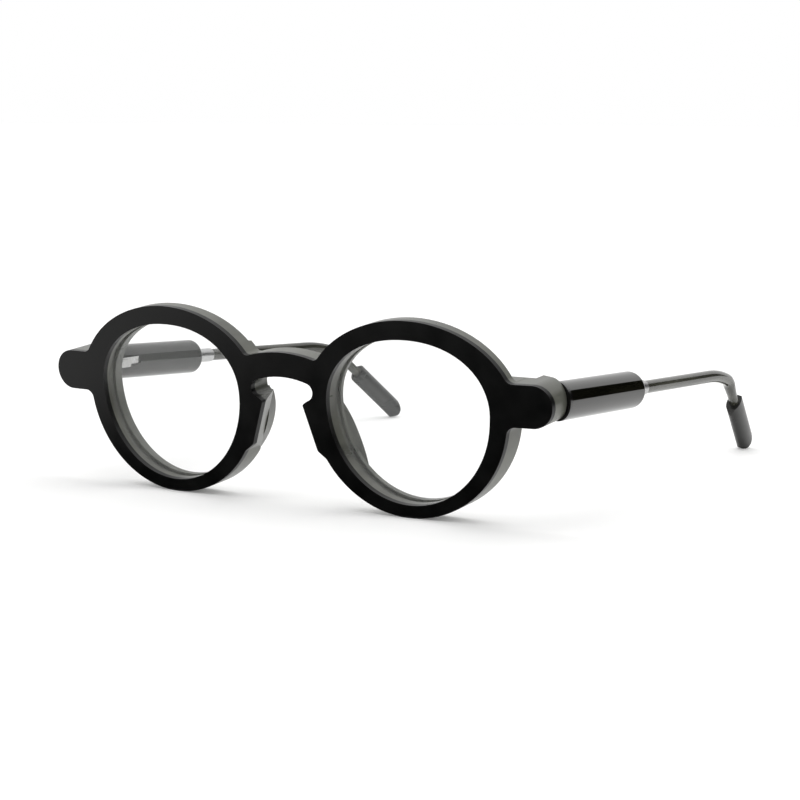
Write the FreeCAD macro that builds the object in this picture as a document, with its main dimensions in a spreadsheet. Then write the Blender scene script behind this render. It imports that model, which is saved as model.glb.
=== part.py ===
import FreeCAD, Part
import math
import os
from FreeCAD import Placement, Rotation, Vector

# Round thick-rimmed eyeglasses standing open on their rims and temple tips.
# Millimetres, +Z up, +X to the wearer's left, +Y from the front back to the temple tips.
# The origin is the middle of the footprint, on the surface that the glasses stand on.
#
# "front frame": X across, Y through the thickness from the front face, Z up along the leaning front.
# "temple frame": Y along the barrel from the hinge joint to the rear, X across, Z up.

DIMENSIONS = [
    # the front as a whole
    ("front_face_y", -69.35, "front face at the bridge"),
    ("datum_height", 23.45, "height of the front frame's origin"),
    ("front_tilt", 5.4, "the top leans forward, degrees"),
    ("bow_radius", 980.0, "gentle bow of the front"),
    ("laminate_thick", 1.5, "dark face layer"),
    ("front_thick", 7.2, "whole front at the lenses"),
    # the two openings
    ("eye_centre", 33.8, "opening's centre from the middle"),
    ("eye_level", 1.7, "height of the opening's widest line"),
    ("eye_half_width", 21.35, "opening"),
    ("eye_rise", 16.15, "opening above its widest line"),
    ("eye_fall", 22.3, "opening below its widest line"),
    ("brow_fullness", 2.12, "exponent of the upper curve"),
    # outer outline of the rims
    ("brow_centre", 34.2, "upper rim ellipse"),
    ("brow_half_width", 27.45, "upper rim ellipse"),
    ("brow_rise", 20.6, "upper rim ellipse"),
    ("cheek_centre", 33.6, "lower rim ellipse"),
    ("cheek_half_width", 25.75, "lower rim ellipse"),
    ("cheek_fall", 25.3, "lower rim ellipse"),
    # bridge and nose
    ("bridge_top", 13.1, "crown of the bridge"),
    ("bridge_drop", 1.55, "fall of the crown to the rim"),
    ("arch_top", 7.25, "underside of the bridge"),
    ("nose_splay", 20.0, "nose edges open to the rear, degrees"),
    ("pad_crest", 11.8, "deepest point of the nose pads"),
    # the bevelled rear edge of the upper rims
    ("bevel_start", 5.2, "depth where the upper rims' outer bevel starts"),
    ("bevel_angle", 50.0, "bevel, degrees from straight back"),
    ("bridge_depth", 6.2, "rear of the bridge"),
    # lugs
    ("lug_centre", 65.6, "centre of the lug's round end"),
    ("lug_level", 4.4, "height of the lug's middle"),
    ("lug_radius", 4.85, "half the lug's height"),
    ("mitre_angle", 24.0, "joint plane, degrees from square"),
    ("joint_depth", 10.35, "joint plane behind the front face, at the barrel's axis"),
    ("hinge_land", 8.9, "flat behind the lug that the hinge sits on"),
    ("lug_inner", 56.2, "inner side of the lug's raised rear"),
    # lenses
    ("lens_radius", 260.0, "front surface of the lens"),
    ("lens_thick", 2.0, "lens"),
    ("lens_setback", 2.7, "lens vertex behind the front face"),
    ("lens_bite", 0.7, "lens edge in its groove"),
    ("seat_clearance", 0.05, "groove round the lens"),
    # hinge
    ("hinge_x", 60.6, "hinge axis from the middle"),
    ("hinge_depth", 11.45, "hinge axis behind the front face"),
    ("knuckle_radius", 1.6, "hinge knuckle"),
    ("knuckle_length", 1.86, "one knuckle"),
    ("knuckle_gap", 0.07, "between knuckles"),
    ("bore_radius", 0.72, "bore of the knuckles"),
    ("screw_radius", 0.68, "hinge screw shank"),
    ("screw_head_radius", 1.25, "hinge screw head"),
    ("screw_head_height", 0.7, "hinge screw head"),
    ("leaf_thick", 1.1, "hinge leaves"),
    ("leaf_height", 6.4, "front leaf"),
    ("rivet_radius", 0.55, "rivets and pins of the leaves"),
    # temples
    ("joint_x", 67.1, "barrel axis at the joint"),
    ("joint_z", 28.5, "barrel axis at the joint"),
    ("toe_in", 2.4, "temples converge, degrees"),
    ("temple_slope", 2.69, "temples fall to the rear, degrees"),
    ("barrel_radius", 4.45, "barrel and end disc"),
    ("joint_gap", 0.15, "lug to disc"),
    ("disc_thick", 1.2, "dark disc at the barrel's end"),
    ("barrel_end", 39.8, "rear of the barrel from the joint"),
    ("barrel_round", 1.1, "rear edge of the barrel"),
    ("collar_radius", 1.85, "ferrule round the rod"),
    ("collar_end", 47.4, "rear of the ferrule from the joint"),
    ("rod_radius", 1.6, "temple rod"),
    ("rod_tip_radius", 1.3, "rod inside the tip sleeve"),
    ("rod_taper", 5.0, "length of the rod's taper after the bend"),
    ("rod_start", 27.0, "rod inside the barrel"),
    ("wire_start", 14.0, "core wire inside the barrel"),
    ("wire_radius", 0.55, "core wire"),
    ("bend_start", 90.4, "rod leaves the straight"),
    ("ear_radius", 57.0, "first, gentle part of the bend"),
    ("ear_turn", 13.4, "degrees"),
    ("drop_radius", 9.2, "second, tight part of the bend"),
    ("drop_turn", 23.5, "degrees"),
    ("drop_length", 30.08, "straight drop to the sleeve's end"),
    ("inward_roll", 12.7, "the drop leans inward, degrees"),
    # tip sleeves
    ("sleeve_length", 21.2, "tip sleeve"),
    ("sleeve_width", 6.2, "tip sleeve, along the bend's plane"),
    ("sleeve_thick", 3.7, "tip sleeve, across"),
    ("sleeve_wall", 4.0, "solid end behind the rod"),
]

LEFT = 1
RIGHT = -1
SIDES = {"left": LEFT, "right": RIGHT}
FAR = 90.0  # beyond every piece, for cutters
CURVE_POINTS = 24  # points that an opening's closed curve is drawn through

doc = FreeCAD.newDocument("eyeglasses")
sheet = doc.addObject("Spreadsheet::Sheet", "Dims")
for row, (alias, value, note) in enumerate(DIMENSIONS, start=1):
    sheet.set(f"A{row}", alias)
    sheet.set(f"B{row}", str(value))
    sheet.set(f"C{row}", note)
    sheet.setAlias(f"B{row}", alias)
doc.recompute()


def size(name):
    """The value of one driving dimension."""
    return float(sheet.get(name))


def bind(feature, **formulas):
    """Binds a feature's properties to formulas of the spreadsheet's dimensions."""
    for name, formula in formulas.items():
        feature.setExpression(name, formula)
    return feature


# ---------------------------------------------------------------- frames

def front_placement():
    """Places the front frame: leaning, with its face at front_face_y."""
    lean = Rotation(Vector(1, 0, 0), size("front_tilt"))
    return Placement(Vector(0, size("front_face_y"), size("datum_height")), lean)


def joint_point(side):
    """Where the barrel's axis meets the joint plane."""
    return Vector(side * size("joint_x"), size("front_face_y") + size("joint_depth"), size("joint_z"))


def temple_placement(side, rolled=False):
    """Places the temple frame; rolled turns its YZ plane into the plane of the bend."""
    turn = Rotation(Vector(0, 0, 1), side * size("toe_in"))
    turn = turn.multiply(Rotation(Vector(1, 0, 0), -size("temple_slope")))
    if rolled:
        turn = turn.multiply(Rotation(Vector(0, 1, 0), side * size("inward_roll")))
    return Placement(joint_point(side), turn)


# ---------------------------------------------------------------- sketches

def origin_plane(body, role):
    """One of the body's own origin planes."""
    return next(item for item in body.Origin.OriginFeatures if item.Role == role)


def add_sketch(body, name, role, edges, offset=None):
    """A sketch with the given edges on one of the body's origin planes."""
    sketch = body.newObject("Sketcher::SketchObject", name)
    sketch.AttachmentSupport = [(origin_plane(body, role), "")]
    sketch.MapMode = "FlatFace"
    if offset is not None:
        sketch.AttachmentOffset = offset
    for edge in edges:
        sketch.addGeometry(edge, False)
    return sketch


def flat(point):
    """A sketch point from a pair of numbers."""
    return Vector(point[0], point[1], 0)


def line(start, end):
    return Part.LineSegment(flat(start), flat(end))


def arc(start, middle, end):
    return Part.Arc(flat(start), flat(middle), flat(end))


def curve(points, closed=False):
    spline = Part.BSplineCurve()
    spline.interpolate([flat(p) for p in points], PeriodicFlag=closed)
    return spline


def circle(radius, x=0.0, y=0.0):
    return Part.Circle(Vector(x, y, 0), Vector(0, 0, 1), radius)


def polygon(corners):
    """Lines round a closed run of corners."""
    return [line(a, b) for a, b in zip(corners, corners[1:] + corners[:1])]


def mirrored(strokes):
    """The same strokes on the other side of the middle, in running order."""
    return [(kind, [(-x, y) for x, y in reversed(points)]) for kind, points in reversed(strokes)]


def draw(strokes):
    """Sketch edges from strokes: line, arc through a middle point, or smooth curve."""
    makers = {"line": line, "arc": arc}
    return [curve(points) if kind == "curve" else makers[kind](*points) for kind, points in strokes]


# ---------------------------------------------------------------- outlines of the front

def on_ellipse(centre, half_width, rise, angle):
    """A point of an ellipse about the opening's widest line, angle in radians."""
    x = centre + half_width * math.cos(angle)
    return (x, size("eye_level") + rise * math.sin(angle))


def ellipse_run(centre, half_width, rise, start, end, steps):
    """Points along part of an ellipse, from one angle to another."""
    angles = [start + (end - start) * i / steps for i in range(steps + 1)]
    return [on_ellipse(centre, half_width, rise, angle) for angle in angles]


def outline():
    """The front's outer outline and its corners, as (strokes, {corner: fillet dimension})."""
    level = size("eye_level")
    lug_top = size("lug_level") + size("lug_radius")
    lug_bottom = size("lug_level") - size("lug_radius")
    lug_end = size("lug_centre") + size("lug_radius")
    crown = size("bridge_top")
    brow = (size("brow_centre"), size("brow_half_width"), size("brow_rise"))
    cheek = (size("cheek_centre"), size("cheek_half_width"), -size("cheek_fall"))

    meets_bridge = math.pi - math.asin((crown - size("bridge_drop") - level) / brow[2])
    meets_lug = math.asin((lug_top - level) / brow[2])
    leaves_lug = math.asin((level - lug_bottom) / size("cheek_fall"))
    nose_turn = math.radians(148.5)  # where the lower rim turns up to the nose pad
    upper = ellipse_run(*brow, meets_bridge, meets_lug, 8)
    lower = ellipse_run(*cheek, leaves_lug, nose_turn, 8)

    pad_low = (9.3, -9.8)
    pad_high = (5.7, 1.0)
    keyhole_low = (7.15, 1.95)
    keyhole_out = (8.75, 4.1)
    keyhole_high = (7.45, 6.05)
    lug_high = (size("lug_centre"), lug_top)
    lug_low = (size("lug_centre"), lug_bottom)
    half = [
        ("curve", upper),
        ("line", [upper[-1], lug_high]),
        ("arc", [lug_high, (lug_end, size("lug_level")), lug_low]),
        ("line", [lug_low, lower[0]]),
        ("curve", lower),
        ("line", [lower[-1], pad_low]),
        ("line", [pad_low, pad_high]),
        ("line", [pad_high, keyhole_low]),
        ("arc", [keyhole_low, keyhole_out, keyhole_high]),
    ]
    other = mirrored(half)
    arch = ("arc", [keyhole_high, (0, size("arch_top")), (-keyhole_high[0], keyhole_high[1])])
    top = ("arc", [(-upper[0][0], upper[0][1]), (0, crown), upper[0]])
    corners = {
        1.6: [upper[0], lower[-1]],
        2.2: [upper[-1], lower[0]],
        1.2: [pad_low],
        0.6: [pad_high],
        0.5: [keyhole_low, keyhole_high],
    }
    return half + [arch] + other + [top], corners


def eye_outline(grow=0.0, side=LEFT):
    """The closed curve of an opening, larger all round by grow."""
    points = []
    for i in range(CURVE_POINTS):
        angle = 2 * math.pi * i / CURVE_POINTS
        upper = math.sin(angle) > 0
        power = 2 / size("brow_fullness") if upper else 1.0
        reach = size("eye_rise") if upper else size("eye_fall")
        across = math.copysign(abs(math.cos(angle)) ** power, math.cos(angle))
        up = math.copysign(abs(math.sin(angle)) ** power, math.sin(angle))
        x = size("eye_centre") + (size("eye_half_width") + grow) * across
        points.append((side * x, size("eye_level") + (reach + grow) * up))
    return curve(points, closed=True)


def bow(x, depth):
    """Depth of the bowed surface that starts at depth in the middle."""
    radius = size("bow_radius")
    return depth + radius - math.sqrt(radius ** 2 - x ** 2)


# ---------------------------------------------------------------- body features

def new_body(label, placement=None):
    body = doc.addObject("PartDesign::Body", label)
    body.Label = label
    if placement is not None:
        body.Placement = placement
    return body


def through(body, name, sketch):
    """A pocket right through the body, both ways from its sketch."""
    pocket = body.newObject("PartDesign::Pocket", name)
    pocket.Profile = sketch
    pocket.Type = "ThroughAll"
    pocket.Midplane = True
    return pocket


def round_edges(body, name, base, points, radius, along):
    """Rounds the straight edges of base that run along a direction through the given points."""
    doc.recompute()
    names = []
    for index, edge in enumerate(base.Shape.Edges, start=1):
        ends = [vertex.Point for vertex in edge.Vertexes]
        if len(ends) != 2:
            continue
        span = ends[1] - ends[0]
        if span.Length < 1e-6 or abs(span.normalize().dot(along)) < 0.999:
            continue
        foot = ends[0] - along * ends[0].dot(along)
        if any((foot - point).Length < 0.02 for point in points):
            names.append(f"Edge{index}")
    fillet = body.newObject("PartDesign::Fillet", name)
    fillet.Base = (base, names)
    fillet.Radius = radius
    return fillet


def front_blank(body):
    """The front's outline as a thick plate with rounded corners and both openings."""
    strokes, corners = outline()
    plate = body.newObject("PartDesign::Pad", "Plate")
    plate.Profile = add_sketch(body, "Outline", "XZ_Plane", draw(strokes))
    plate.Midplane = True
    bind(plate, Length="Dims.front_thick * 5")
    tip = plate
    for number, (radius, points) in enumerate(corners.items()):
        feet = [Vector(s * x, 0, y) for x, y in points for s in (1, -1)]
        tip = round_edges(body, f"Corners{number}", tip, feet, radius, Vector(0, 1, 0))
    for name, side in SIDES.items():
        opening = add_sketch(body, f"Eye_{name}", "XZ_Plane", [eye_outline(side=side)])
        through(body, f"Opening_{name}", opening)


def cut_front_surface(body, depth):
    """Cuts everything in front of the bowed surface at depth."""
    edge = bow(FAR, depth)
    strokes = [
        line((-FAR, -FAR), (FAR, -FAR)),
        line((FAR, -FAR), (FAR, edge)),
        arc((FAR, edge), (0, depth), (-FAR, edge)),
        line((-FAR, edge), (-FAR, -FAR)),
    ]
    through(body, "FrontSurface", add_sketch(body, "FrontCurve", "XY_Plane", strokes))


def cut_rear_surface(body, depth):
    """Cuts everything behind the bowed surface at depth."""
    edge = bow(FAR, depth)
    strokes = [
        arc((-FAR, edge), (0, depth), (FAR, edge)),
        line((FAR, edge), (FAR, FAR)),
        line((FAR, FAR), (-FAR, FAR)),
        line((-FAR, FAR), (-FAR, edge)),
    ]
    through(body, "RearSurface", add_sketch(body, "RearCurve", "XY_Plane", strokes))


# ---------------------------------------------------------------- front pieces

def make_laminate():
    """The dark face layer, a thin bowed plate of the full outline."""
    body = new_body("front_laminate", front_placement())
    front_blank(body)
    cut_front_surface(body, 0.0)
    cut_rear_surface(body, size("laminate_thick"))
    return body


def add_lug_rear(body, name, side):
    """Raises the lug's rear, then cuts it to the hinge's flat and the mitred joint plane."""
    level, radius = size("lug_level"), size("lug_radius")
    inner, centre = side * size("lug_inner"), side * size("lug_centre")
    tip = side * (size("lug_centre") + radius)
    strokes = [
        line((centre, level + radius), (inner, level + radius)),
        line((inner, level + radius), (inner, level - radius)),
        line((inner, level - radius), (centre, level - radius)),
        arc((centre, level - radius), (tip, level), (centre, level + radius)),
    ]
    start = Placement(Vector(0, 0, -size("front_thick") * 0.75), Rotation())
    block = body.newObject("PartDesign::Pad", f"LugRear_{name}")
    block.Profile = add_sketch(body, f"LugOutline_{name}", "XZ_Plane", strokes, start)
    block.Reversed = True
    bind(block, Length="Dims.front_thick * 2")

    slant = math.tan(math.radians(size("mitre_angle")))
    reach = 4 * radius
    shoulder = size("lug_inner") - size("joint_x")
    step = size("hinge_x") + size("knuckle_radius") + 0.5 - size("joint_x")
    land = size("hinge_land") - size("joint_depth")
    corners = [
        (shoulder, land),
        (step, land),
        (step, -step * slant),
        (reach, -reach * slant),
        (reach, reach),
        (shoulder, reach),
    ]
    corners = [(side * x, y) for x, y in corners]
    upright = front_placement().inverse().multiply(Placement(joint_point(side), Rotation()))
    sketch = add_sketch(body, f"JointPlan_{name}", "XY_Plane", polygon(corners), upright)
    pocket = body.newObject("PartDesign::Pocket", f"Mitre_{name}")
    pocket.Profile = sketch
    pocket.Midplane = True
    bind(pocket, Length="Dims.lug_radius * 2.5")


def splay_nose_edges(body):
    """Opens the nose gap to the rear with a tapered pocket that starts at the front face."""
    edge = [(5.7, 1.0), (9.3, -9.8), (13.7, -23.0)]
    gap = [(-x, y) for x, y in edge] + edge[::-1]
    start = Placement(Vector(0, 0, -size("laminate_thick")), Rotation())
    pocket = body.newObject("PartDesign::Pocket", "NoseSplay")
    pocket.Profile = add_sketch(body, "NoseGap", "XZ_Plane", polygon(gap), start)
    bind(pocket, Length="Dims.front_thick + 3", TaperAngle="Dims.nose_splay")
    return pocket


def lens_blank(label, side, grow, extra):
    """A lens, or with some growth and extra thickness the space for its groove."""
    body = new_body(label, front_placement())
    slab = body.newObject("PartDesign::Pad", "Slab")
    slab.Profile = add_sketch(body, "Rim", "XZ_Plane", [eye_outline(grow, side)])
    slab.Midplane = True
    slab.Length = FAR / 2
    reach = size("eye_fall") * 1.6
    centre = Placement(Vector(side * size("eye_centre"), 0, 0), Rotation())
    vertex = bow(size("eye_centre"), size("lens_setback"))
    faces = {
        "Front": (vertex - extra, size("lens_radius"), -FAR),
        "Rear": (vertex + size("lens_thick") + extra, size("lens_radius") - size("lens_thick"), FAR),
    }
    for name, (start, radius, beyond) in faces.items():
        half_way = start + radius - math.sqrt(radius ** 2 - (reach / 2) ** 2)
        end = start + radius - math.sqrt(radius ** 2 - reach ** 2)
        strokes = [
            arc((0, start), (reach / 2, half_way), (reach, end)),
            line((reach, end), (reach, beyond)),
            line((reach, beyond), (0, beyond)),
            line((0, beyond), (0, start)),
        ]
        sketch = add_sketch(body, f"{name}Curve", "XY_Plane", strokes, centre)
        groove = body.newObject("PartDesign::Groove", f"{name}Surface")
        groove.Profile = sketch
        groove.ReferenceAxis = (sketch, ["V_Axis"])
        groove.Angle = 360
    return body


def upper_core(name, side):
    """An elliptical frustum that narrows to the rear: what the bevel leaves of an upper rim."""
    body = new_body(f"upper_core_{name}", front_placement())
    narrowing = math.tan(math.radians(size("bevel_angle")))
    centre = Vector(side * size("brow_centre"), size("eye_level"), 0)
    sketches = []
    for number, behind in enumerate((-1.0, size("front_thick"))):
        half_width = size("brow_half_width") - behind * narrowing
        rise = size("brow_rise") - behind * narrowing
        oval = Part.Ellipse(centre + Vector(half_width, 0, 0), centre + Vector(0, rise, 0), centre)
        level = Placement(Vector(0, 0, -size("bevel_start") - behind), Rotation())
        sketches.append(add_sketch(body, f"Oval{number}", "XZ_Plane", [oval], level))
    loft = body.newObject("PartDesign::AdditiveLoft", "Core")
    loft.Profile = sketches[0]
    loft.Sections = sketches[1:]
    return body


def front_box(name, x, y, z):
    """A box by its spans in the front frame."""
    item = doc.addObject("Part::Box", name)
    item.Length = x[1] - x[0]
    item.Width = y[1] - y[0]
    item.Height = z[1] - z[0]
    item.Placement = front_placement().multiply(Placement(Vector(x[0], y[0], z[0]), Rotation()))
    return item


def upper_bevel():
    """What the bevel takes off behind the upper rims and the bridge, between the two lugs."""
    start = size("bevel_start") - 0.3
    low = size("arch_top") - 4
    reach = size("lug_inner") - 1
    lug_top = size("lug_level") + size("lug_radius") + 0.1
    between = front_box("bevel_between", (-reach, reach), (start, 3 * start), (low, FAR / 3))
    above = front_box("bevel_above", (-FAR, FAR), (start, 3 * start), (lug_top, FAR / 3))
    around = fuse("bevel_block", [between, above])
    root = size("brow_centre") - size("brow_half_width") / 2
    crown = size("bridge_top") + 1
    bridge = front_box("bridge_core", (-root, root), (0, size("bridge_depth")), (-FAR / 3, crown))
    cores = [upper_core(name, side) for name, side in SIDES.items()]
    return cut("upper_bevel", around, fuse("bevel_cores", cores + [bridge]))


def make_front_body(seats, recesses):
    """The translucent body of the front, with lens grooves and hinge recesses."""
    blank = new_body("front_blank", front_placement())
    front_blank(blank)
    cut_front_surface(blank, size("laminate_thick"))
    cut_rear_surface(blank, size("front_thick"))
    splay_nose_edges(blank)
    for name, side in SIDES.items():
        add_lug_rear(blank, name, side)
    tools = doc.addObject("Part::MultiFuse", "front_cutters")
    tools.Shapes = seats + recesses + [upper_bevel()]
    front = doc.addObject("Part::Cut", "front_body")
    front.Base = blank
    front.Tool = tools
    front.Label = "front_body"
    return front


def make_nose_pad(name, side):
    """A bonded pad: a curved fin that leans outward as it rises from the front's rear face."""
    body = new_body(f"nose_pad_{name}", front_placement())
    crest = size("pad_crest")
    profiles = [
        ("Base", size("front_thick") - 1, (8.6, 2.2), (11.0, -9.2), (19.0, -17.7), (14.2, -8.7)),
        ("Crest", crest + 0.5, (9.8, 1.6), (12.3, -8.6), (18.4, -16.9), (13.4, -7.9)),
    ]
    sketches = []
    for label, depth, high, inner, low, outer in profiles:
        ends = [(side * x, y) for x, y in (high, inner, low, outer)]
        strokes = [arc(ends[0], ends[1], ends[2]), arc(ends[2], ends[3], ends[0])]
        level = Placement(Vector(0, 0, -depth), Rotation())
        sketches.append(add_sketch(body, label, "XZ_Plane", strokes, level))
    loft = body.newObject("PartDesign::AdditiveLoft", "Fin")
    loft.Profile = sketches[0]
    loft.Sections = sketches[1:]
    cut_front_surface(body, size("front_thick"))
    ends = [(size("front_thick") + 1.2, 3.5), (crest, -6.0), (size("front_thick"), -17.6)]
    strokes = [
        arc(*ends),
        line(ends[2], (FAR, ends[2][1])),
        line((FAR, ends[2][1]), (FAR, ends[0][1])),
        line((FAR, ends[0][1]), ends[0]),
    ]
    through(body, "CrestCurve", add_sketch(body, "CrestArc", "YZ_Plane", strokes))
    return body


# ---------------------------------------------------------------- hinge pieces

def hinge_point(side):
    return Vector(side * size("hinge_x"), size("front_face_y") + size("hinge_depth"), size("joint_z"))


def box(name, side, x, y, z, **formulas):
    """A box by its spans from the hinge axis, x counted outward."""
    item = doc.addObject("Part::Box", name)
    item.Length = x[1] - x[0]
    item.Width = y[1] - y[0]
    item.Height = z[1] - z[0]
    bind(item, **formulas)
    start = x[0] if side == LEFT else -x[1]
    item.Placement = Placement(hinge_point(side) + Vector(start, y[0], z[0]), Rotation())
    return item


def rod(name, base, direction, radius, length, formula=None):
    """A cylinder from a base point along a direction."""
    item = doc.addObject("Part::Cylinder", name)
    item.Radius = radius
    item.Height = length
    if formula:
        bind(item, Radius=formula)
    item.Placement = Placement(base, Rotation(Vector(0, 0, 1), direction))
    return item


def fuse(name, items):
    result = doc.addObject("Part::MultiFuse", name)
    result.Shapes = items
    return result


def cut(name, base, tool):
    result = doc.addObject("Part::Cut", name)
    result.Base = base
    result.Tool = tool
    result.Label = name
    return result


def knuckle(name, side, low):
    """One knuckle of the hinge, from a height above the axis's middle."""
    base = hinge_point(side) + Vector(0, 0, low)
    length = size("knuckle_length")
    return rod(name, base, Vector(0, 0, 1), size("knuckle_radius"), length, "Dims.knuckle_radius")


def knuckle_bore(name, side):
    span = 3 * size("knuckle_length") + 2 * size("knuckle_gap")
    base = hinge_point(side) - Vector(0, 0, span)
    return rod(name, base, Vector(0, 0, 1), size("bore_radius"), 2 * span, "Dims.bore_radius")


def rivet_spots():
    """The two rivets of a front leaf, as (outward, upward) from the hinge axis."""
    return [(-3.3, 1.7), (-3.3, -1.7)]


def front_leaf_spans():
    """Plate of the front leaf, set into the lug's rear face in front of the knuckles."""
    back = size("hinge_land") - size("hinge_depth")
    half = size("leaf_height") / 2
    return (-4.3, 0.4), (back - size("leaf_thick"), back), (-half, half)


def make_front_leaf(name, side):
    """Plate with the two outer knuckles of the hinge."""
    x, y, z = front_leaf_spans()
    middle = size("knuckle_length") / 2
    gap = size("knuckle_gap")
    lows = [middle + gap, -middle - gap - size("knuckle_length")]
    parts = [box(f"front_plate_{name}", side, x, y, z, Width="Dims.leaf_thick", Height="Dims.leaf_height")]
    for number, low in enumerate(lows):
        tall = (low, low + size("knuckle_length"))
        parts.append(box(f"front_web_{number}_{name}", side, (-1.0, 0.4), (y[0], 0.0), tall))
        parts.append(knuckle(f"front_knuckle_{number}_{name}", side, low))
    tools = [knuckle_bore(f"front_bore_{name}", side)]
    for number, (out, up) in enumerate(rivet_spots()):
        base = hinge_point(side) + Vector(side * out, y[0] - 1, up)
        tools.append(rod(f"front_hole_{number}_{name}", base, Vector(0, 1, 0), size("rivet_radius"), 4))
    solid = fuse(f"front_leaf_solid_{name}", parts)
    return cut(f"hinge_front_leaf_{name}", solid, fuse(f"front_leaf_tools_{name}", tools))


def make_front_rivets(name, side):
    """Two rivets with low heads, through the front leaf into the lug."""
    x, y, z = front_leaf_spans()
    radius = size("rivet_radius")
    rearward = Vector(0, 1, 0)
    parts = []
    for number, (out, up) in enumerate(rivet_spots()):
        end = hinge_point(side) + Vector(side * out, y[1], up)
        shank = rod(f"rivet_{number}_{name}", end - rearward * 4.0, rearward, radius, 4.0)
        bind(shank, Radius="Dims.rivet_radius")
        head = rod(f"rivet_head_{number}_{name}", end, rearward, radius * 1.7, 0.35)
        bind(head, Radius="Dims.rivet_radius * 1.7")
        parts += [shank, head]
    group = fuse(f"hinge_rivets_{name}", parts)
    group.Label = f"hinge_rivets_{name}"
    return group


def front_recesses(name, side):
    """Space in the lug for the front leaf and its rivets."""
    x, y, z = front_leaf_spans()
    across = (x[0] - 0.05, x[1] + 1.75)
    up = (z[0] - 0.05, z[1] + 0.05)
    tools = [box(f"recess_{name}", side, across, (y[0], y[1] + 3), up)]
    for number, (out, up) in enumerate(rivet_spots()):
        base = hinge_point(side) + Vector(side * out, y[1] - 4.0, up)
        tools.append(rod(f"rivet_hole_{number}_{name}", base, Vector(0, 1, 0), size("rivet_radius"), 4.0))
    return tools


def make_hinge_screw(name, side):
    """The hinge pin: a small slotted screw through all three knuckles."""
    half = 1.5 * size("knuckle_length") + size("knuckle_gap")
    base = hinge_point(side) - Vector(0, 0, half)
    up = Vector(0, 0, 1)
    shank = rod(f"screw_shank_{name}", base, up, size("screw_radius"), 2 * half, "Dims.screw_radius")
    top = hinge_point(side) + up * half
    head = rod(f"screw_head_{name}", top, up, size("screw_head_radius"), size("screw_head_height"))
    bind(head, Radius="Dims.screw_head_radius", Height="Dims.screw_head_height")
    slot_low = half + size("screw_head_height") * 0.5
    slot = box(f"screw_slot_{name}", side, (-2, 2), (-0.2, 0.2), (slot_low, slot_low + 1))
    return cut(f"hinge_screw_{name}", fuse(f"screw_solid_{name}", [shank, head]), slot)


def temple_leaf_bars():
    """The cranked temple leaf as boxes: (outward span, rearward span)."""
    strap = size("joint_x") - size("hinge_x") - size("barrel_radius")
    outer = strap + 0.9
    inner = outer - size("leaf_thick")
    return [
        ((-size("knuckle_radius"), -size("knuckle_radius") + size("leaf_thick")), (0.0, 5.4)),
        ((-size("knuckle_radius"), outer), (4.0, 5.4)),
        ((inner, outer), (4.0, 13.0)),
    ]


def pin_spots():
    """The two pins of a temple leaf, rearward from the hinge axis."""
    return [7.2, 10.8]


def make_temple_leaf(name, side):
    """The middle knuckle on a cranked strap that lies in the barrel's slot."""
    half = size("knuckle_length") / 2
    parts = [knuckle(f"temple_knuckle_{name}", side, -half)]
    bars = temple_leaf_bars()
    for number, (x, y) in enumerate(bars):
        parts.append(box(f"strap_{number}_{name}", side, x, y, (-half, half), Height="Dims.knuckle_length"))
    tools = [knuckle_bore(f"temple_bore_{name}", side)]
    x = bars[-1][0]
    for number, back in enumerate(pin_spots()):
        base = hinge_point(side) + Vector(side * (x[0] - 1), back, 0)
        tools.append(rod(f"pin_hole_{number}_{name}", base, Vector(side, 0, 0), size("rivet_radius"), 4))
    solid = fuse(f"temple_leaf_solid_{name}", parts)
    return cut(f"hinge_temple_leaf_{name}", solid, fuse(f"temple_leaf_tools_{name}", tools))


def pin_rods(name, side, kind):
    """The temple leaf's pins, driven outward into the barrel."""
    x = temple_leaf_bars()[-1][0]
    rods = []
    for number, back in enumerate(pin_spots()):
        base = hinge_point(side) + Vector(side * x[0], back, 0)
        rods.append(rod(f"{kind}_{number}_{name}", base, Vector(side, 0, 0), size("rivet_radius"), 4.0))
        bind(rods[-1], Radius="Dims.rivet_radius")
    return rods


# ---------------------------------------------------------------- temple pieces

def mitre_cut(body, name, side, offset, in_front=True):
    """Cuts a temple piece at the joint plane moved back by offset, before or behind it."""
    turn = math.radians(size("mitre_angle") + size("toe_in"))
    reach = 4 * size("barrel_radius")
    along = (reach * math.cos(turn), -side * reach * math.sin(turn))
    beyond = -FAR if in_front else FAR
    corners = [
        (-along[0], offset - along[1]),
        (along[0], offset + along[1]),
        (along[0], beyond),
        (-along[0], beyond),
    ]
    upright = Rotation(Vector(1, 0, 0), size("temple_slope"))
    sketch = add_sketch(body, f"{name}Plan", "XY_Plane", polygon(corners), Placement(Vector(), upright))
    sketch.setExpression("AttachmentOffset.Rotation.Angle", "Dims.temple_slope")
    return through(body, name, sketch)


def make_disc(name, side):
    """The dark disc between lug and barrel, mitred on both faces."""
    body = new_body(f"end_disc_{name}", temple_placement(side))
    pad = body.newObject("PartDesign::Pad", "Round")
    pad.Profile = add_sketch(body, "Circle", "XZ_Plane", [circle(size("barrel_radius"))])
    pad.Midplane = True
    bind(pad, Length="Dims.barrel_radius * 4")
    mitre_cut(body, "Front", side, size("joint_gap"))
    mitre_cut(body, "Rear", side, size("joint_gap") + size("disc_thick"), in_front=False)
    return body


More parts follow.
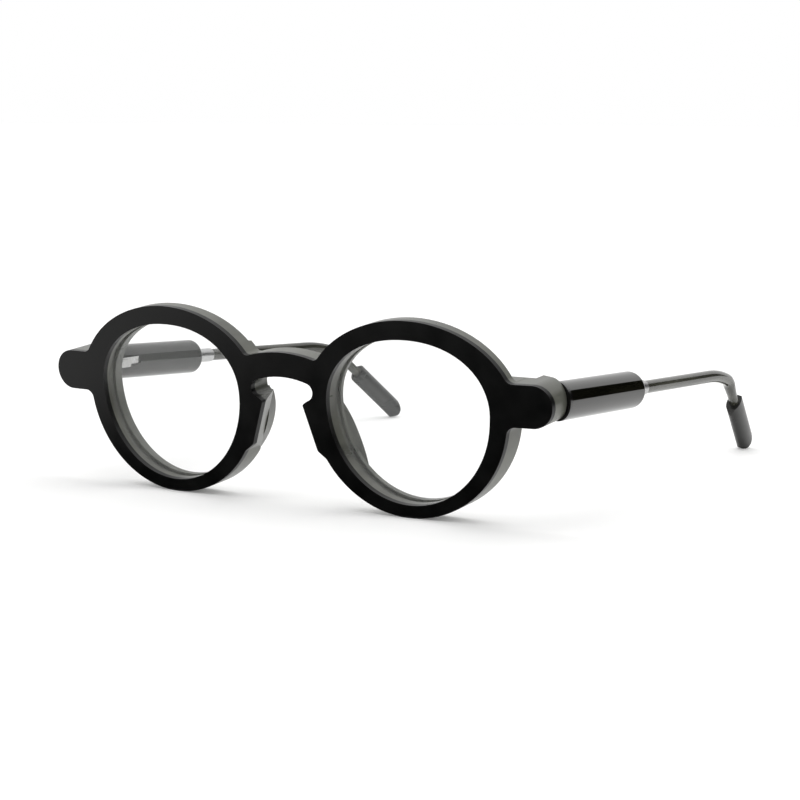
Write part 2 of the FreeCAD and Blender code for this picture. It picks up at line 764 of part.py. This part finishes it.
def make_barrel(name, side):
    """The barrel: a round bar with stepped bore, mitred front end and rounded rear."""
    blank = new_body(f"barrel_blank_{name}", temple_placement(side))
    radius = size("barrel_radius")
    end = size("barrel_end")
    edge = size("barrel_round")
    slant = edge * (1 - math.sqrt(0.5))
    run = [
        (radius - edge, end),
        (size("rod_radius"), end),
        (size("rod_radius"), size("rod_start")),
        (size("wire_radius"), size("rod_start")),
        (size("wire_radius"), size("wire_start")),
        (0, size("wire_start")),
        (0, -radius),
        (radius, -radius),
        (radius, end - edge),
    ]
    strokes = [line(a, b) for a, b in zip(run, run[1:])]
    strokes.append(arc(run[-1], (radius - slant, end - slant), run[0]))
    sketch = add_sketch(blank, "Half", "XY_Plane", strokes)
    turned = blank.newObject("PartDesign::Revolution", "Turned")
    turned.Profile = sketch
    turned.ReferenceAxis = (sketch, ["V_Axis"])
    turned.Angle = 360
    mitre_cut(blank, "Mitre", side, size("joint_gap") + size("disc_thick"))
    x, y = temple_leaf_bars()[-1]
    half = size("knuckle_length") / 2
    slot = box(f"slot_{name}", side, (x[0] - 2, x[1]), (y[0], y[1]), (-half, half))
    tools = fuse(f"barrel_tools_{name}", [slot] + pin_rods(name, side, "pin_seat"))
    return cut(f"temple_barrel_{name}", blank, tools)


def make_collar(name, side):
    """A plain ferrule round the rod, against the barrel's rear end."""
    body = new_body(f"collar_{name}", temple_placement(side))
    ring = [circle(size("collar_radius")), circle(size("rod_radius"))]
    start = Placement(Vector(0, 0, -size("barrel_end")), Rotation())
    pad = body.newObject("PartDesign::Pad", "Ring")
    pad.Profile = add_sketch(body, "Rings", "XZ_Plane", ring, start)
    pad.Reversed = True
    bind(pad, Length="Dims.collar_end - Dims.barrel_end")
    return body


def path_points():
    """The rod's path in the plane of its bend: straight, gentle arc, tight arc, straight drop."""
    gentle = math.radians(size("ear_turn"))
    full = math.radians(size("ear_turn") + size("drop_turn"))
    start = (size("bend_start"), 0.0)

    def advance(origin, radius, turn_from, turn_to):
        y = origin[0] + radius * (math.sin(turn_to) - math.sin(turn_from))
        z = origin[1] - radius * (math.cos(turn_from) - math.cos(turn_to))
        return (y, z)

    ear_middle = advance(start, size("ear_radius"), 0, gentle / 2)
    ear = advance(start, size("ear_radius"), 0, gentle)
    drop_middle = advance(ear, size("drop_radius"), gentle, (gentle + full) / 2)
    drop = advance(ear, size("drop_radius"), gentle, full)
    direction = (math.cos(full), -math.sin(full))
    return start, ear_middle, ear, drop_middle, drop, direction


def path_strokes(start_y, straight):
    """The path's edges from start_y, with a given length of the straight drop."""
    start, ear_middle, ear, drop_middle, drop, direction = path_points()
    strokes = [
        line((start_y, 0), start),
        arc(start, ear_middle, ear),
        arc(ear, drop_middle, drop),
    ]
    if straight:
        end = (drop[0] + direction[0] * straight, drop[1] + direction[1] * straight)
        strokes.append(line(drop, end))
    return strokes


def pipe(body, kind, name, radius, start_y, straight):
    """A round bar or bore along the path."""
    start = Placement(Vector(0, 0, -start_y), Rotation())
    profile = add_sketch(body, f"{name}Section", "XZ_Plane", [circle(radius)], start)
    strokes = path_strokes(start_y, straight)
    spine = add_sketch(body, f"{name}Path", "YZ_Plane", strokes)
    doc.recompute()
    sweep = body.newObject(kind, name)
    sweep.Profile = profile
    sweep.Spine = (spine, [f"Edge{i + 1}" for i in range(len(strokes))])
    return sweep


def drop_frame(distance):
    """The frame at a distance down the straight drop: its Y runs along the drop."""
    drop = path_points()[4]
    turn = Rotation(Vector(1, 0, 0), -(size("ear_turn") + size("drop_turn")))
    start = Vector(0, drop[0], drop[1])
    return Placement(start + turn.multVec(Vector(0, distance, 0)), turn)


def make_rod(name, side):
    """The temple rod: a bent round bar, thinner after its bend, with a bore for its core wire."""
    body = new_body(f"temple_rod_{name}", temple_placement(side, rolled=True))
    pipe(body, "PartDesign::AdditivePipe", "Bar", size("rod_radius"), size("rod_start"), 0)
    end = size("drop_length") - size("sleeve_wall")
    corners = [
        (0, 0),
        (0, size("rod_radius")),
        (size("rod_taper"), size("rod_tip_radius")),
        (end, size("rod_tip_radius")),
        (end, 0),
    ]
    drop = path_points()[4]
    turned = Rotation(Vector(0, 0, 1), -(size("ear_turn") + size("drop_turn")))
    sketch = add_sketch(body, "DropHalf", "YZ_Plane", polygon(corners), Placement(flat(drop), turned))
    thin = body.newObject("PartDesign::Revolution", "Drop")
    thin.Profile = sketch
    thin.ReferenceAxis = (sketch, ["H_Axis"])
    thin.Angle = 360
    pipe(body, "PartDesign::SubtractivePipe", "Bore", size("wire_radius"), size("rod_start"), end)
    return body


def make_wire(name, side):
    """The core wire inside rod and barrel."""
    body = new_body(f"core_wire_{name}", temple_placement(side, rolled=True))
    end = size("drop_length") - size("sleeve_wall")
    pipe(body, "PartDesign::AdditivePipe", "Wire", size("wire_radius"), size("wire_start"), end)
    return body


def make_sleeve(name, side):
    """The flat oval tip sleeve: shouldered start, obliquely rounded end, blind bore for the rod."""
    frame = temple_placement(side, rolled=True)
    neck = drop_frame(size("drop_length") - size("sleeve_length"))
    body = new_body(f"tip_sleeve_{name}", frame.multiply(neck))
    half = size("sleeve_width") / 2
    length = size("sleeve_length")
    oval = Part.Ellipse(Vector(0, half, 0), Vector(size("sleeve_thick") / 2, 0, 0), Vector(0, 0, 0))
    pad = body.newObject("PartDesign::Pad", "Oval")
    pad.Profile = add_sketch(body, "Section", "XZ_Plane", [oval])
    pad.Reversed = True
    bind(pad, Length="Dims.sleeve_length")
    above = half + 3
    nose = (length + 0.2, -0.6)
    low, high = length - 1.6, length - 2.8
    corners = [
        [(-1, 1.7), (0.8, half - 0.45), (2.8, half), (2.8, above), (-1, above)],
        [(-1, -1.7), (0.8, -half + 0.45), (2.8, -half), (2.8, -above), (-1, -above)],
        [(high, half), (length - 1.3, half - 1.1), nose, (length + 3, above), (high, above)],
        [(low, -half), (length - 0.6, -half + 0.7), nose, (length + 3, -above), (low, -above)],
    ]
    for number, (first, middle, last, *rest) in enumerate(corners):
        run = [last] + rest + [first]
        strokes = [arc(first, middle, last)] + [line(a, b) for a, b in zip(run, run[1:])]
        through(body, f"Corner{number}", add_sketch(body, f"CornerEdge{number}", "YZ_Plane", strokes))
    bore = body.newObject("PartDesign::Pocket", "Bore")
    bore.Profile = add_sketch(body, "BoreCircle", "XZ_Plane", [circle(size("rod_tip_radius"))])
    bind(bore, Length="Dims.sleeve_length - Dims.sleeve_wall")
    return body


# ---------------------------------------------------------------- the whole

pieces = [make_laminate()]
seats = []
recesses = []
for name, side in SIDES.items():
    pieces.append(lens_blank(f"lens_{name}", side, size("lens_bite"), 0.0))
    slack = size("seat_clearance")
    seats.append(lens_blank(f"lens_seat_{name}", side, size("lens_bite") + slack, slack))
    recesses += front_recesses(name, side)
pieces.append(make_front_body(seats, recesses))
for name, side in SIDES.items():
    pieces.append(make_nose_pad(name, side))
    pieces.append(make_front_leaf(name, side))
    pieces.append(make_front_rivets(name, side))
    pieces.append(make_hinge_screw(name, side))
    pieces.append(make_temple_leaf(name, side))
    pins = fuse(f"barrel_pins_{name}", pin_rods(name, side, "pin"))
    pins.Label = f"barrel_pins_{name}"
    pieces.append(pins)
    pieces.append(make_disc(name, side))
    pieces.append(make_barrel(name, side))
    pieces.append(make_collar(name, side))
    pieces.append(make_rod(name, side))
    pieces.append(make_wire(name, side))
    pieces.append(make_sleeve(name, side))
doc.recompute()

for item in doc.Objects:
    if "Invalid" in item.State or "Error" in item.State:
        raise RuntimeError(f"{item.Label} failed: {item.State}")
for piece in pieces:
    if piece.Shape.isNull() or not piece.Shape.isValid():
        raise RuntimeError(f"{piece.Label} has no valid shape")

os.makedirs("parts", exist_ok=True)
whole = FreeCAD.BoundBox()
for piece in pieces:
    piece.Shape.exportStep(f"parts/{piece.Label}.step")
    whole.add(piece.Shape.BoundBox)
    print(f"{piece.Label}: {len(piece.Shape.Solids)} solid(s), {piece.Shape.Volume:.2f} mm3")
print(f"box {whole.XLength:.2f} x {whole.YLength:.2f} x {whole.ZLength:.2f}")
print(f"middle y {whole.Center.y:.3f}, lowest z {whole.ZMin:.3f}")
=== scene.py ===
"""Studio scene of the round thick-rimmed eyeglasses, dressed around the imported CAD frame."""

import math

import bpy
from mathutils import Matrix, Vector


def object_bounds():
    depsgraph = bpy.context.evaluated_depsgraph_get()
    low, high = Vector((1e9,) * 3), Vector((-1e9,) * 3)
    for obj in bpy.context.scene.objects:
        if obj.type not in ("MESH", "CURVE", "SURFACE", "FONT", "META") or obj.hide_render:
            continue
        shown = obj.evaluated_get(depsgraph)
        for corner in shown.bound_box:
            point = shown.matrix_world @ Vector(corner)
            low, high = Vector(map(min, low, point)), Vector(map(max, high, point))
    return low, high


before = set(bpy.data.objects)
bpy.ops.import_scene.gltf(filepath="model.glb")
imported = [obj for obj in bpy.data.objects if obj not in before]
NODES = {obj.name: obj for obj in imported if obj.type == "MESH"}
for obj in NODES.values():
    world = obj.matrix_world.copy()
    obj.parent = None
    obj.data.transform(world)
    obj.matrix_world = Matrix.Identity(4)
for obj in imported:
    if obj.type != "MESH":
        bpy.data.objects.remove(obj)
cad_low, cad_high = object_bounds()
SIDES = ("left", "right")
SMOOTH_BELOW = math.radians(30)  # edges sharper than this stay crisp


# ---------------------------------------------------------------- materials

def new_material(name, color, roughness, **sockets):
    """A Principled material with uniform values on the shader's own sockets."""
    material = bpy.data.materials.new(name)
    material.use_nodes = True
    shader = material.node_tree.nodes["Principled BSDF"]
    shader.inputs["Base Color"].default_value = (*color, 1)
    shader.inputs["Roughness"].default_value = roughness
    for socket, value in sockets.items():
        shader.inputs[socket.replace("_", " ")].default_value = value
    return material


def add_noise(material, scale, detail=4.0, stretch=(1, 1, 1)):
    """Noise in the object's own metres; returns its factor output."""
    nodes, links = material.node_tree.nodes, material.node_tree.links
    coordinates = nodes.new("ShaderNodeTexCoord")
    mapping = nodes.new("ShaderNodeMapping")
    mapping.inputs["Scale"].default_value = stretch
    noise = nodes.new("ShaderNodeTexNoise")
    noise.inputs["Scale"].default_value = scale
    noise.inputs["Detail"].default_value = detail
    links.new(coordinates.outputs["Object"], mapping.inputs["Vector"])
    links.new(mapping.outputs["Vector"], noise.inputs["Vector"])
    return noise.outputs["Fac"]


def vary_color(material, factor, dark, light, low=0.35, high=0.65):
    """Colour between dark and light, by a factor."""
    nodes, links = material.node_tree.nodes, material.node_tree.links
    ramp = nodes.new("ShaderNodeValToRGB")
    ramp.color_ramp.elements[0].position = low
    ramp.color_ramp.elements[1].position = high
    ramp.color_ramp.elements[0].color = (*dark, 1)
    ramp.color_ramp.elements[1].color = (*light, 1)
    links.new(factor, ramp.inputs["Fac"])
    links.new(ramp.outputs["Color"], nodes["Principled BSDF"].inputs["Base Color"])


def vary_roughness(material, factor, low, high):
    """Roughness between low and high, by a factor."""
    nodes, links = material.node_tree.nodes, material.node_tree.links
    span = nodes.new("ShaderNodeMapRange")
    span.inputs["From Min"].default_value = 0.3
    span.inputs["From Max"].default_value = 0.7
    span.inputs["To Min"].default_value = low
    span.inputs["To Max"].default_value = high
    links.new(factor, span.inputs["Value"])
    links.new(span.outputs["Result"], nodes["Principled BSDF"].inputs["Roughness"])


def add_bump(material, factor, strength, distance):
    """Fine relief from a factor, distance in metres."""
    nodes, links = material.node_tree.nodes, material.node_tree.links
    bump = nodes.new("ShaderNodeBump")
    bump.inputs["Strength"].default_value = strength
    bump.inputs["Distance"].default_value = distance
    links.new(factor, bump.inputs["Height"])
    links.new(bump.outputs["Normal"], nodes["Principled BSDF"].inputs["Normal"])


def matte_black():
    """Dark face layer: tumbled acetate with a fine matte grain."""
    dark, light = (0.001, 0.001, 0.001), (0.0025, 0.0025, 0.0024)
    material = new_material("matte_black_acetate", light, 0.45, Specular_IOR_Level=0.2)
    grain = add_noise(material, 5200, 3)
    cloud = add_noise(material, 160, 4)
    vary_color(material, cloud, dark, light)
    vary_roughness(material, cloud, 0.3, 0.4)
    add_bump(material, grain, 0.3, 0.00005)
    return material


def smoke_acetate(name, dark, light, roughness=(0.24, 0.4), scatter=0.35, gloss=0.5):
    """Smoky olive acetate: slightly milky, with faint flow clouds and a fine matte grain."""
    material = new_material(
        name, light, roughness[0], IOR=1.48, Specular_IOR_Level=gloss,
        Subsurface_Weight=scatter, Subsurface_Radius=(0.0012, 0.0012, 0.0010),
    )
    cloud = add_noise(material, 110, 12, (1, 0.35, 1))
    grain = add_noise(material, 3800, 2)
    vary_color(material, cloud, dark, light, 0.4, 0.6)
    vary_roughness(material, cloud, *roughness)
    add_bump(material, grain, 0.2, 0.00004)
    return material


def gloss_smoke(name, dark, light, roughness, scatter=0.0):
    """Polished dark smoky acetate of the barrels, discs and rods."""
    material = new_material(
        name, light, roughness, IOR=1.5, Subsurface_Weight=scatter, Subsurface_Radius=(0.001, 0.001, 0.0008)
    )
    streak = add_noise(material, 260, 3, (1, 0.15, 1))
    vary_color(material, streak, dark, light)
    vary_roughness(material, streak, roughness * 0.7, roughness * 1.4)
    return material


def steel(name, tone, roughness):
    """Fine turned or brushed steel."""
    material = new_material(name, tone, roughness, Metallic=1.0)
    scratches = add_noise(material, 2400, 4, (0.15, 1, 1))
    vary_color(material, scratches, tuple(0.82 * c for c in tone), tone)
    vary_roughness(material, scratches, roughness * 0.75, roughness * 1.4)
    add_bump(material, scratches, 0.15, 0.00002)
    return material


def clear_lens():
    """A thin clear lens: almost all of it passes light, with a faint gloss."""
    material = new_material("clear_lens", (0.93, 0.95, 0.94), 0.02, IOR=1.5)
    shader = material.node_tree.nodes["Principled BSDF"]
    shader.inputs["Alpha"].default_value = 0.05
    haze = add_noise(material, 60, 3)
    vary_roughness(material, haze, 0.01, 0.05)
    return material


LOOKS = {
    "front_laminate": matte_black(),
    "front_body": smoke_acetate("smoke_acetate", (0.055, 0.057, 0.046), (0.105, 0.107, 0.09)),
    # nose pads: the front's smoke acetate made darker as painted shade, standing for the shadow on the left
    # pad, given to both pads
    "nose_pad": smoke_acetate("smoke_acetate_pad_painted_shade", (0.03, 0.031, 0.024), (0.06, 0.061, 0.048)),
    "lens": clear_lens(),
    "hinge_front_leaf": steel("hinge_steel", (0.62, 0.62, 0.61), 0.28),
    "hinge_temple_leaf": steel("strap_steel", (0.58, 0.58, 0.57), 0.3),
    "hinge_rivets": steel("rivet_steel", (0.7, 0.7, 0.69), 0.2),
    "hinge_screw": steel("screw_steel", (0.72, 0.72, 0.72), 0.18),
    "barrel_pins": steel("pin_steel", (0.6, 0.6, 0.6), 0.25),
    "end_disc": gloss_smoke("black_disc", (0.002, 0.002, 0.002), (0.004, 0.004, 0.004), 0.25),
    "temple_barrel": gloss_smoke("smoke_barrel", (0.003, 0.003, 0.002), (0.008, 0.008, 0.005), 0.04),
    "collar": steel("collar_aluminium", (0.5, 0.5, 0.5), 0.3),
    "temple_rod": gloss_smoke("smoke_rod", (0.025, 0.025, 0.02), (0.06, 0.06, 0.048), 0.06, 0.3),
    "core_wire": steel("core_wire_steel", (0.6, 0.6, 0.6), 0.35),
    "tip_sleeve": smoke_acetate(
        "smoke_sleeve", (0.004, 0.004, 0.004), (0.012, 0.012, 0.011),
        roughness=(0.2, 0.32), scatter=0.1, gloss=0.28,
    ),
}


def dress(node, look):
    """Gives a CAD node its material and smooth shading across its gentle edges."""
    slots = node.data.materials
    if not slots:
        slots.append(look)
    for index in range(len(slots)):
        slots[index] = look
    node.data.shade_smooth()
    split = node.modifiers.new("split", "EDGE_SPLIT")
    split.split_angle = SMOOTH_BELOW


for name, node in NODES.items():
    kind = name.rsplit("_", 1)[0] if name.endswith(SIDES) else name
    dress(node, LOOKS[kind])


# ---------------------------------------------------------------- stage

def stage_mesh(name, corners, faces, material):
    """A mesh that belongs to the stage, not to the object."""
    mesh = bpy.data.meshes.new(name)
    mesh.from_pydata(corners, [], faces)
    mesh.materials.append(material)
    piece = bpy.data.objects.new(name, mesh)
    bpy.context.scene.collection.objects.link(piece)
    return piece


def plain_floor(half, glow):
    """A wide white floor, with a little light of its own so that it stays white far away."""
    material = new_material("white_floor", (0.9, 0.9, 0.895), 0.7)
    dust = add_noise(material, 30, 3)
    vary_color(material, dust, (0.895, 0.895, 0.89), (0.905, 0.905, 0.9))
    shader = material.node_tree.nodes["Principled BSDF"]
    shader.inputs["Emission Color"].default_value = (1, 1, 1, 1)
    shader.inputs["Emission Strength"].default_value = glow
    corners = [(-half, -half, 0), (half, -half, 0), (half, half, 0), (-half, half, 0)]
    stage_mesh("floor", corners, [(0, 1, 2, 3)], material)


def glossy_only(name, corners, faces):
    """A dark card of the stage that only glossy rays see."""
    material = new_material(name, (0.001, 0.001, 0.001), 0.9, Specular_IOR_Level=0.0)
    card = stage_mesh(name, corners, faces, material)
    card.visible_camera = False
    card.visible_diffuse = False
    card.visible_shadow = False
    card.visible_transmission = False


def curved_card(name, start, end, radius, height, steps=16):
    """A dark card that stands in an arc round the set; angles in degrees from +Y towards +X."""
    corners = []
    for step in range(steps + 1):
        turn = math.radians(start + (end - start) * step / steps)
        x, y = radius * math.sin(turn), radius * math.cos(turn)
        corners += [(x, y, 0.0), (x, y, height)]
    faces = [(2 * i, 2 * i + 2, 2 * i + 3, 2 * i + 1) for i in range(steps)]
    glossy_only(name, corners, faces)


def floor_card():
    """A dark card on the floor in front, so that the face layer reads black."""
    near, far = cad_low[1] + 0.006, cad_low[1] - 0.9
    right, left_near, left_far = 0.5, cad_low[0] - 0.03, cad_low[0] + 0.01
    above_floor = 0.0004
    outline = [(left_near, near), (right, near), (right, far), (left_far, far)]
    glossy_only("dark_floor_card", [(x, y, above_floor) for x, y in outline], [(0, 1, 2, 3)])


def area_light(name, place, target, size, power):
    """A soft rectangular lamp aimed at a point."""
    light = bpy.data.lights.new(name, "AREA")
    light.shape = "RECTANGLE"
    light.size, light.size_y = size
    light.energy = power
    lamp = bpy.data.objects.new(name, light)
    lamp.location = place
    lamp.rotation_mode = "QUATERNION"
    lamp.rotation_quaternion = (Vector(target) - Vector(place)).to_track_quat("-Z", "Y")
    bpy.context.scene.collection.objects.link(lamp)
    return lamp


def studio_world(strength):
    """Even white surroundings."""
    world = bpy.data.worlds.new("studio")
    world.use_nodes = True
    background = world.node_tree.nodes["Background"]
    background.inputs["Color"].default_value = (1, 1, 1, 1)
    background.inputs["Strength"].default_value = strength
    bpy.context.scene.world = world


plain_floor(9, 0.12)
studio_world(1.0)
area_light("overhead", (-0.1, 0.1, 1.1), (0, 0, 0), (1.4, 1.0), 4)
curved_card("dark_card_right", 14, 110, 1.0, 0.55)
floor_card()

# ---------------------------------------------------------------- camera

AZIMUTH = math.radians(32.176)
ELEVATION = math.radians(7.729)
DISTANCE = 0.53567
FOCUS_SHARE = 2162.4 / 800  # focal length over the picture's width
# the camera was placed against the front face; the footprint's middle lies this far behind it
FRONT_TO_MIDDLE = 0.06935

camera = bpy.data.objects.new("camera", bpy.data.cameras.new("camera"))
camera.data.sensor_width = 36
camera.data.lens = 36 * FOCUS_SHARE
camera.data.clip_start, camera.data.clip_end = 0.01, 20
target = Vector((0.00792, 0.0392 - FRONT_TO_MIDDLE, 0.02125))
back = Vector((
    math.sin(AZIMUTH) * math.cos(ELEVATION),
    -math.cos(AZIMUTH) * math.cos(ELEVATION),
    math.sin(ELEVATION),
))
camera.location = target + back * DISTANCE
camera.rotation_mode = "QUATERNION"
camera.rotation_quaternion = (-back).to_track_quat("-Z", "Y")
bpy.context.scene.collection.objects.link(camera)
bpy.context.scene.camera = camera
bpy.context.scene.view_settings.view_transform = "Standard"
